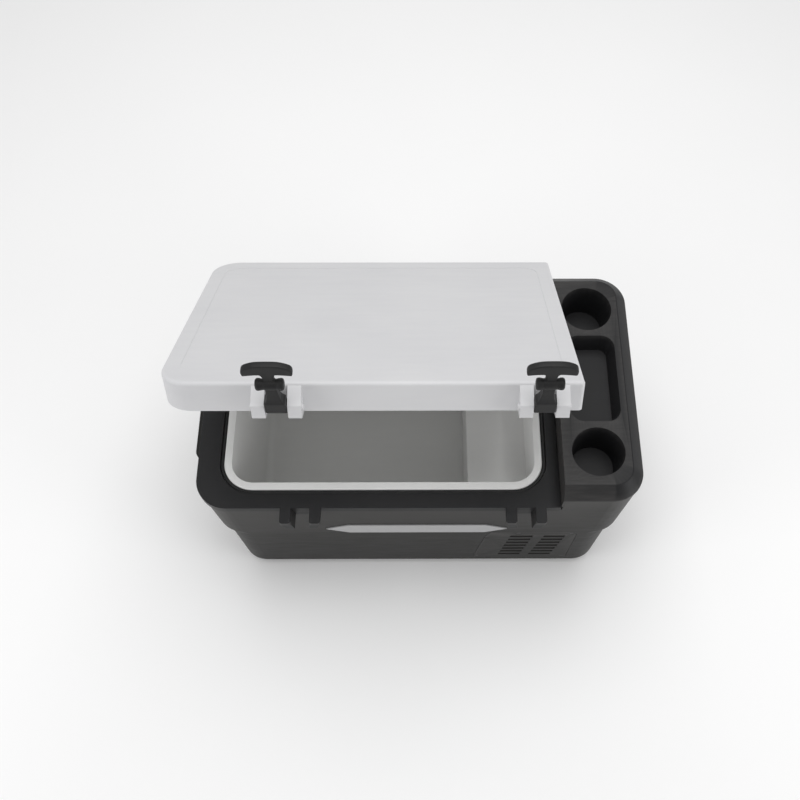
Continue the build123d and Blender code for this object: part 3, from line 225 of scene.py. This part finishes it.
# %% [markdown]
# ## Moulded case plastic
# The case is a thick dark moulding. Its mould leaves a fine pebbled grain that hides scratches,
# and handling leaves long faint rub marks, mostly sideways. The grain is noise at about a
# millimetre; the marks are noise stretched along the fridge, and they change the gloss more than
# the colour. Corners that get knocked turn a little lighter.
#
# The vent panel is the same plastic, but its slats lie in the shade of the case. There the colour
# falls off to black behind a depth that is read from the piece's own coordinates.

# %% Case plastic
CASE_DARK, CASE_LIGHT = rgb(0.012, 0.0116, 0.011), rgb(0.018, 0.0173, 0.0163)
CASE_GLOSS = 0.46
KNOCKED = rgb(0.12, 0.115, 0.11)
SHADE = rgb(0.002, 0.002, 0.002)
SHADE_FROM = -187.4 * MM     # just behind the face of the vent panel
SHADE_PER_METRE = 500        # full shade 2 mm further in


def moulded_plastic(name, dark, light, gloss, grain=900, depth=0.06 * MM, shaded=False):
    material, shader, place = start_finish(name, Specular_IOR_Level=0.2)
    clouds = place.noise(7, detail=4)
    rubs = place.stretched(0.12, 1, 1).noise(160, detail=5, rough=0.65)
    pebbles = place.noise(grain, detail=2)
    mottle = clouds * 0.55 + rubs * 0.45
    tone = mottle.ramp((0.36, 0), (0.66, 1)).blend(dark, light)
    worn = edges_of(place) * rubs * 0.55
    colour = worn.blend(tone, KNOCKED)
    if shaded:
        inward = place.node("ShaderNodeSeparateXYZ", {}, {0: place}, output=1)
        colour = ((inward - SHADE_FROM) * SHADE_PER_METRE).ramp((0, 0), (1, 1)).blend(colour, SHADE)
    rough = gloss + (rubs - 0.5) * 0.22 + (clouds - 0.5) * 0.12
    close_finish(shader, colour, rough, pebbles + place.noise(60) * 0.8, depth)
    return material


case_plastic = moulded_plastic("case_plastic", CASE_DARK, CASE_LIGHT, CASE_GLOSS)
console_plastic = moulded_plastic(
    "console_plastic", rgb(0.013, 0.013, 0.014), rgb(0.018, 0.018, 0.019), CASE_GLOSS)
vent_plastic = moulded_plastic("vent_plastic", CASE_DARK, CASE_LIGHT, CASE_GLOSS, shaded=True)
print("made", case_plastic.name, console_plastic.name, "and", vent_plastic.name)

# %% [markdown]
# ## Lid plastic
# The lid is the same kind of moulding in a pale grey. Pale plastic shows its finish differently:
# the grain almost disappears and what is left is a soft, slightly uneven sheen, with a little dirt
# in broad clouds. The liner is whiter and glossier, and gets hardly any rub marks, because nothing
# slides along its walls.

# %% Lid plastic
def pale_plastic(name, clean, handled, gloss, rub=0.16):
    material, shader, place = start_finish(name, Specular_IOR_Level=0.4)
    clouds = place.noise(5, detail=5, rough=0.55)
    fine = place.noise(700, detail=2)
    rubs = place.stretched(0.15, 1, 1).noise(90, detail=5, rough=0.6)
    colour = (clouds * 0.7 + rubs * 0.3).ramp((0.38, 0), (0.68, 1)).blend(clean, handled)
    rough = gloss + (rubs - 0.5) * rub + (clouds - 0.5) * 0.10
    close_finish(shader, colour, rough, fine + place.noise(35) * 1.2, 0.05 * MM)
    return material


lid_plastic = pale_plastic("lid_plastic", rgb(0.66, 0.66, 0.67), rgb(0.62, 0.62, 0.635), 0.48)
liner_plastic = pale_plastic("liner_plastic", rgb(0.82, 0.82, 0.81), rgb(0.79, 0.79, 0.78), 0.32, 0.05)
print("made", lid_plastic.name, "and", liner_plastic.name)

# %% [markdown]
# ## Rubber
# Latches, feet and the seal are soft black rubber. Rubber is duller than plastic and gets a faint
# pale bloom in the hollows, where fingers don't wipe it off.

# %% Rubber
def black_rubber(name):
    material, shader, place = start_finish(name, Specular_IOR_Level=0.28)
    bloom = place.noise(55, detail=5, rough=0.6).ramp((0.45, 0), (0.75, 1))
    fine = place.noise(1500, detail=3)
    colour = bloom.blend(rgb(0.013, 0.013, 0.0135), rgb(0.026, 0.0255, 0.025))
    rough = 0.50 + bloom * 0.14 + (fine - 0.5) * 0.12
    close_finish(shader, colour, rough, fine, 0.05 * MM)
    return material


rubber = black_rubber("black_rubber")
print("made", rubber.name)

# %% [markdown]
# ## Metals
# Screws, hinges and the sheet metal in the machine bay are all made the same way here: fully
# metallic, with fine drawn lines. Only the colour, the gloss and how strongly the lines show
# differ, so one function serves them all. Copper gets darker clouds of tarnish, and the screws on
# the front are blackened.

# %% Metals
def drawn_metal(name, bright, dull, gloss, line_scale=420, pull=(0.06, 1, 1)):
    material, shader, place = start_finish(name, Metallic=1.0)
    lines = place.stretched(*pull).noise(line_scale, detail=4, rough=0.7)
    tarnish = place.noise(28, detail=5, rough=0.6)
    colour = tarnish.ramp((0.42, 0), (0.72, 1)).blend(bright, dull)
    rough = gloss + (lines - 0.5) * 0.30 + (tarnish - 0.5) * 0.18
    close_finish(shader, colour, rough, lines, 0.03 * MM)
    return material


steel = drawn_metal("screw_steel", rgb(0.50, 0.50, 0.51), rgb(0.36, 0.36, 0.36), 0.30)
black_steel = drawn_metal("screw_blackened", rgb(0.045, 0.045, 0.047), rgb(0.09, 0.088, 0.085), 0.38)
zinc = drawn_metal("zinc_sheet", rgb(0.56, 0.57, 0.58), rgb(0.42, 0.43, 0.45), 0.42, 60, (1, 1, 1))
copper = drawn_metal("copper_tube", rgb(0.78, 0.40, 0.26), rgb(0.42, 0.22, 0.13), 0.28, 300)
aluminium = drawn_metal("aluminium_fin", rgb(0.76, 0.77, 0.78), rgb(0.60, 0.61, 0.62), 0.34)
print("metals:", steel.name, zinc.name, copper.name, aluminium.name)

# %% [markdown]
# ## Painted, foamed and electronic parts
# These sit inside the case, but the object may be opened up, so each has its own finish: glossy
# enamel with a slight orange peel on the compressor, cellular foam, a circuit board with copper
# tracks under green lacquer, smoked plastic over the display, and black trim.

# %% Inner finishes
def enamel(name):
    material, shader, place = start_finish(name, Coat_Weight=0.4, Coat_Roughness=0.12)
    peel = place.noise(260, detail=2)
    dust = place.noise(30, detail=5, rough=0.65).ramp((0.50, 0), (0.80, 1))
    colour = dust.blend(rgb(0.012, 0.012, 0.013), rgb(0.05, 0.048, 0.045))
    close_finish(shader, colour, 0.22 + dust * 0.35, peel, 0.12 * MM)
    return material


def foam_finish(name):
    material, shader, place = start_finish(name, Specular_IOR_Level=0.2)
    bubbles = place.cells(420)
    clouds = place.noise(14, detail=4)
    colour = clouds.ramp((0.35, 0), (0.70, 1)).blend(rgb(0.74, 0.62, 0.36), rgb(0.62, 0.50, 0.27))
    close_finish(shader, colour, 0.80 + (clouds - 0.5) * 0.2, bubbles, 0.5 * MM)
    return material


def board_finish(name):
    material, shader, place = start_finish(name, Coat_Weight=0.3, Coat_Roughness=0.2)
    tracks = place.node("ShaderNodeTexBrick", {"offset": 0.5},
                        {"Vector": place, "Scale": 260.0, "Mortar Size": 0.03}, output=1)
    flux = place.noise(120, detail=4)
    colour = tracks.blend(rgb(0.010, 0.085, 0.040), rgb(0.030, 0.16, 0.075))
    close_finish(shader, colour, 0.34 + (flux - 0.5) * 0.25, tracks + flux * 0.4, 0.05 * MM)
    return material


def smoked_lens(name):
    material, shader, place = start_finish(name, Coat_Weight=0.6, Coat_Roughness=0.05)
    smears = place.stretched(1, 0.2, 1).noise(140, detail=5, rough=0.65)
    colour = smears.blend(rgb(0.008, 0.009, 0.011), rgb(0.016, 0.017, 0.020))
    close_finish(shader, colour, 0.10 + (smears - 0.4) * 0.20, smears, 0.01 * MM)
    return material


enamel_black = enamel("compressor_enamel")
foam = foam_finish("insulation_foam")
board = board_finish("board_lacquer")
lens = smoked_lens("display_smoked")
trim_plastic = moulded_plastic(
    "trim_plastic", rgb(0.010, 0.010, 0.010), rgb(0.018, 0.018, 0.018), 0.42, 1400)
print("inner finishes:", enamel_black.name, foam.name, board.name, lens.name, trim_plastic.name)

# %% [markdown]
# ## Badge plate
# The long plate on the front is silver-painted plastic: satin, with very fine lines along it and a
# few scuffs. It is left blank.

# %% Badge silver
def silver_paint(name):
    material, shader, place = start_finish(name, Metallic=0.35)
    lines = place.stretched(0.03, 1, 1).noise(900, detail=3, rough=0.6)
    scuffs = place.noise(90, detail=5, rough=0.7).ramp((0.55, 0), (0.80, 1))
    colour = (lines * 0.6 + scuffs * 0.4).blend(rgb(0.47, 0.47, 0.475), rgb(0.38, 0.38, 0.385))
    close_finish(shader, colour, 0.36 + (lines - 0.5) * 0.2 + scuffs * 0.12, lines, 0.02 * MM)
    return material


silver = silver_paint("badge_silver")
print("made", silver.name)

# %% [markdown]
# ## Give each frame node its finish
# The record says which material slot each node belongs to, so one table from slot to finish dresses
# the whole fridge. A second table holds the few that differ from their slot: the console, the
# frame and the keepers are a slightly lighter batch of the case's plastic, the front screws are
# black, and the caps of the latch pins match the lid.

# %% Dress the frame
FINISHES = {
    "case_plastic": case_plastic,
    "lid_plastic": lid_plastic,
    "liner_plastic": liner_plastic,
    "foam": foam,
    "rubber": rubber,
    "trim_plastic": trim_plastic,
    "steel": steel,
    "zinc_plate": zinc,
    "black_enamel": enamel_black,
    "copper": copper,
    "aluminium": aluminium,
    "circuit_board": board,
    "lens": lens,
    "badge_silver": silver,
}
EXCEPTIONS = {
    "console_cover": console_plastic,
    "top_frame": console_plastic,
    "latch_keeper_left": console_plastic,
    "latch_keeper_right": console_plastic,
    "vent_panel": vent_plastic,
    "vent_screws": black_steel,
    "latch_pins": lid_plastic,
}

for row in frame["record"]["subparts"]:
    for place in NODES[row["node"]].material_slots:
        place.material = FINISHES[row["material_slot"]]
for node, finish in EXCEPTIONS.items():
    NODES[node].material_slots[0].material = finish

# %% [markdown]
# ## Modelling helpers
# New pieces are modelled as by hand: add a primitive, pick faces by where they are, and extrude,
# scale or bevel them. An operator acts on everything that is selected, so the first helper clears
# the selection, and the second picks faces by a test on their centre and normal.

# %% Modelling helpers
def clear_selection():
    if bpy.context.object and bpy.context.object.mode != "OBJECT":
        bpy.ops.object.mode_set(mode="OBJECT")
    bpy.ops.object.select_all(action="DESELECT")


def pick(piece, test):
    """Leave the piece in edit mode with only the faces selected whose centre and normal pass."""
    bpy.ops.object.mode_set(mode="EDIT")
    bpy.ops.mesh.select_mode(type="FACE")
    bpy.ops.mesh.select_all(action="DESELECT")
    bpy.ops.object.mode_set(mode="OBJECT")
    for face in piece.data.polygons:
        face.select = test(face.center, face.normal)
    bpy.ops.object.mode_set(mode="EDIT")


def pull(step, scale=(1, 1, 1), about=(0, 0, 0)):
    """Extrude the picked faces by a step, then scale them about a point."""
    bpy.ops.mesh.extrude_region_move(TRANSFORM_OT_translate={"value": step})
    bpy.ops.transform.resize(value=scale, center_override=about)


def modify(piece, kind, **settings):
    """Add a modifier with its settings and apply it at once."""
    modifier = piece.modifiers.new(kind.lower(), kind)
    for key, value in settings.items():
        setattr(modifier, key, value)
    bpy.ops.object.modifier_apply(modifier=modifier.name)


def place_piece(piece, name, place=(0, 0, 0), lean=0.0):
    """Name a piece, tilt it about X, move it into place, and write both into its mesh."""
    clear_selection()
    piece.select_set(True)
    bpy.context.view_layer.objects.active = piece
    piece.name = name
    piece.data.name = name
    piece.rotation_euler = (lean, 0, 0)
    piece.location = place
    bpy.ops.object.transform_apply(location=True, rotation=True, scale=True)


def join(pieces):
    """Make one object of several."""
    clear_selection()
    for piece in pieces:
        piece.select_set(True)
    bpy.context.view_layer.objects.active = pieces[0]
    bpy.ops.object.join()
    return pieces[0]


print("modelling helpers ready")

# %% [markdown]
# ## Latch, part one: the T
# A T latch is one rubber moulding that hangs on a pin between two lugs of the lid. You pull its T,
# the strap stretches, and a roll under the T snaps below the keeper. The T is box modelling: a
# short stem grows upwards, widens, and its two sides are pulled out in three steps that droop and
# get thinner. The outline stays coarse on purpose, because a subdivision surface rounds it.
# Here the latch stands upright at the origin, with its pin along X and its front towards -Y.

# %% The T
STRAP = 9.0 * MM
STEM_WIDTH = 13.0 * MM
STEM_LOW, STEM_HIGH = 48.0 * MM, 66.0 * MM
HEAD_STEPS = ((4, 1.4), (8.5, 1.12), (8.5, 0.90))    # rise in millimetres, change of width
ARM_LEVEL = 71.0 * MM        # the arms are pulled out of the faces above this
ARM_MIDDLE = 78.5 * MM
ARM_STEPS = ((7, -0.6, 0.96), (8, -2.0, 0.86), (5.5, -2.2, 0.82))    # reach, drop, height kept


def model_t():
    clear_selection()
    bpy.ops.mesh.primitive_cube_add(size=1, location=(0, 0, (STEM_LOW + STEM_HIGH) / 2),
                                    scale=(STEM_WIDTH, STRAP, STEM_HIGH - STEM_LOW))
    piece = bpy.context.object
    bpy.ops.object.transform_apply(location=True, rotation=True, scale=True)
    pick(piece, lambda centre, normal: normal.z > 0.9)
    for rise, widen in HEAD_STEPS:
        pull((0, 0, rise * MM), (widen, 1, 1))
    for side in (-1, 1):
        pick(piece, lambda centre, normal: normal.x * side > 0.6 and centre.z > ARM_LEVEL)
        middle = ARM_MIDDLE
        for reach, drop, thin in ARM_STEPS:
            middle = middle + drop * MM
            pull((side * reach * MM, 0, drop * MM), (1, 1, thin), (0, 0, middle))
    bpy.ops.object.mode_set(mode="OBJECT")
    modify(piece, "BEVEL", width=1.4 * MM, segments=2, limit_method="ANGLE", angle_limit=radians(50))
    modify(piece, "SUBSURF", levels=2, render_levels=2)
    return piece


# %% [markdown]
# ## Latch, part two: the roll
# The roll is a short cylinder across the strap, a little to the front of it. Beside the stem it is
# slightly waisted, which leaves two round lobes at its ends. A cylinder's end face is pulled
# outwards again and again, and scaled each time to the radius that the lobe has there.

# %% The roll
ROLL_MIDDLE = (0, -2.5 * MM, 51.3 * MM)
ROLL_R = 7.4                 # in millimetres, like the steps and radii of the lobes
LOBE = ((0.4, 6.9), (1.0, 6.6), (2.2, 7.2), (3.0, 7.9), (2.6, 7.7), (1.4, 6.3), (0.4, 3.6))


def model_roll():
    clear_selection()
    bpy.ops.mesh.primitive_cylinder_add(vertices=28, radius=ROLL_R * MM, depth=STEM_WIDTH,
                                        location=ROLL_MIDDLE, rotation=(0, radians(90), 0))
    piece = bpy.context.object
    bpy.ops.object.transform_apply(location=True, rotation=True, scale=True)
    for side in (-1, 1):
        radius = ROLL_R
        pick(piece, lambda centre, normal: normal.x * side > 0.9)
        for step, wanted in LOBE:
            size = wanted / radius
            pull((side * step * MM, 0, 0), (1, size, size), ROLL_MIDDLE)
            radius = wanted
    bpy.ops.object.mode_set(mode="OBJECT")
    modify(piece, "SUBSURF", levels=1, render_levels=1)
    return piece


# %% [markdown]
# ## Latch, part three: strap and foot
# The foot is the block that turns on the pin, with a flat front and a rounded underside. Above its
# upper edge the strap starts narrower, and tapers in a hollow curve up to the roll. Both come from
# one block whose top and bottom faces are extruded and scaled in turn.

# %% Strap and foot
FOOT_WIDTH, FOOT_DEEP = 26.6 * MM, 16.4 * MM
FOOT_LOW, FOOT_TOP = -1.0 * MM, 17.0 * MM    # straight part of the foot's front
# rise, share of the width kept, share of the depth kept
STRAP_STEPS = ((1.2, 0.84, 0.92), (5.5, 0.80, 0.86), (8.5, 0.86, 0.86), (12, 0.92, 0.86), (10, 1, 0.94))


def model_strap():
    clear_selection()
    bpy.ops.mesh.primitive_cube_add(size=1, location=(0, 0, (FOOT_LOW + FOOT_TOP) / 2),
                                    scale=(FOOT_WIDTH, FOOT_DEEP, FOOT_TOP - FOOT_LOW))
    piece = bpy.context.object
    bpy.ops.object.transform_apply(location=True, rotation=True, scale=True)
    pick(piece, lambda centre, normal: normal.z > 0.9)
    for rise, narrow, thin in STRAP_STEPS:
        pull((0, 0, rise * MM), (narrow, thin, 1))
    pick(piece, lambda centre, normal: normal.z < -0.9)
    for rise, thin in ((-3.4, 0.74), (-1.8, 0.56)):
        pull((0, 0, rise * MM), (1, thin, 1))
    bpy.ops.object.mode_set(mode="OBJECT")
    modify(piece, "BEVEL", width=1.3 * MM, segments=3, limit_method="ANGLE", angle_limit=radians(25))
    return piece


# %% [markdown]
# ## Latch, part four: one moulding
# The three shapes only overlap so far. Voxel remeshing melts them into one skin, and a few rounds
# of smoothing give the small fillets that a rubber mould has where two forms meet. The latch is
# modelled once, and each copy gets its own mesh, its lean and its place on its pin.

# %% Two latches
LATCH_LEAN = radians(-6)     # at rest the latch leans back a little

latch_form = join([model_strap(), model_t(), model_roll()])
modify(latch_form, "REMESH", mode="VOXEL", voxel_size=0.55 * MM)
modify(latch_form, "SMOOTH", factor=0.5, iterations=5)
latch_form.data.materials.clear()
latch_form.data.materials.append(rubber)
bpy.ops.object.shade_smooth()

latches = []
for side in ("left", "right"):
    clear_selection()
    latch_form.select_set(True)
    bpy.context.view_layer.objects.active = latch_form
    bpy.ops.object.duplicate()
    latch = bpy.context.object
    place_piece(latch, f"rubber_latch_{side}", JOINTS[f"latch_{side}_pivot"]["pos_m"], LATCH_LEAN)
    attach(latch, f"latch_{side}")
    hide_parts(f"latch_{side}")
    latches.append(latch)
bpy.data.objects.remove(latch_form)
print("latch faces:", len(latches[0].data.polygons))

# %% [markdown]
# ## Seal round the liner's rim
# A soft black seal fills the groove between the white rim of the liner and the frame round it.
# It is one long ring: a plane with rounded corners is inset, its middle is thrown away, the ring
# that is left is extruded, and its edges are rounded, which makes it a bead.

# %% Rim seal
RIM_X0, RIM_X1, RIM_HALF_Y, RIM_CORNER = -292.5 * MM, 187.5 * MM, 165.0 * MM, 45.5 * MM
GROOVE, GAP = 6.0 * MM, 0.3 * MM
SEAL_LOW, SEAL_HIGH = 286.5 * MM, 290.0 * MM


def model_seal():
    clear_selection()
    grow = GROOVE - GAP
    bpy.ops.mesh.primitive_plane_add(size=1, location=((RIM_X0 + RIM_X1) / 2, 0, SEAL_LOW))
    piece = bpy.context.object
    piece.scale = (RIM_X1 - RIM_X0 + 2 * grow, 2 * (RIM_HALF_Y + grow), 1)
    bpy.ops.object.transform_apply(location=True, rotation=True, scale=True)
    bpy.ops.object.mode_set(mode="EDIT")
    bpy.ops.mesh.select_all(action="SELECT")
    bpy.ops.mesh.bevel(offset=RIM_CORNER + grow, segments=14, affect="VERTICES")
    bpy.ops.mesh.select_mode(type="FACE")
    bpy.ops.mesh.select_all(action="SELECT")
    bpy.ops.mesh.inset(thickness=grow - GAP)
    bpy.ops.mesh.delete(type="FACE")
    bpy.ops.mesh.select_all(action="SELECT")
    bpy.ops.mesh.extrude_region_move(TRANSFORM_OT_translate={"value": (0, 0, SEAL_HIGH - SEAL_LOW)})
    bpy.ops.mesh.select_all(action="SELECT")
    bpy.ops.mesh.normals_make_consistent(inside=False)
    bpy.ops.object.mode_set(mode="OBJECT")
    modify(piece, "BEVEL", width=1.5 * MM, segments=3, limit_method="ANGLE", angle_limit=radians(60))
    bpy.ops.object.shade_smooth_by_angle(angle=radians(40))
    return piece


seal = model_seal()
seal.name = "rim_seal"
seal.data.name = "rim_seal"
seal.data.materials.append(rubber)
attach(seal, "base")
print("seal faces:", len(seal.data.polygons))

# %% [markdown]
# ## Floor
# The fridge stands on a seamless pale floor. It has a trace of texture, so that the soft shadow
# under the case has something to lie on.

# %% Floor
def pale_floor(name):
    material, shader, place = start_finish(name)
    clouds = place.noise(3, detail=3)
    colour = clouds.blend(rgb(0.95, 0.95, 0.95), rgb(0.97, 0.97, 0.97))
    close_finish(shader, colour, 0.75 + (clouds - 0.5) * 0.1, clouds, 0.05 * MM)
    return material


clear_selection()
bpy.ops.mesh.primitive_plane_add(size=14)
floor = bpy.context.object
floor.name = "studio_floor"
floor.data.materials.append(pale_floor("studio_floor"))
print("floor laid:", floor.name)
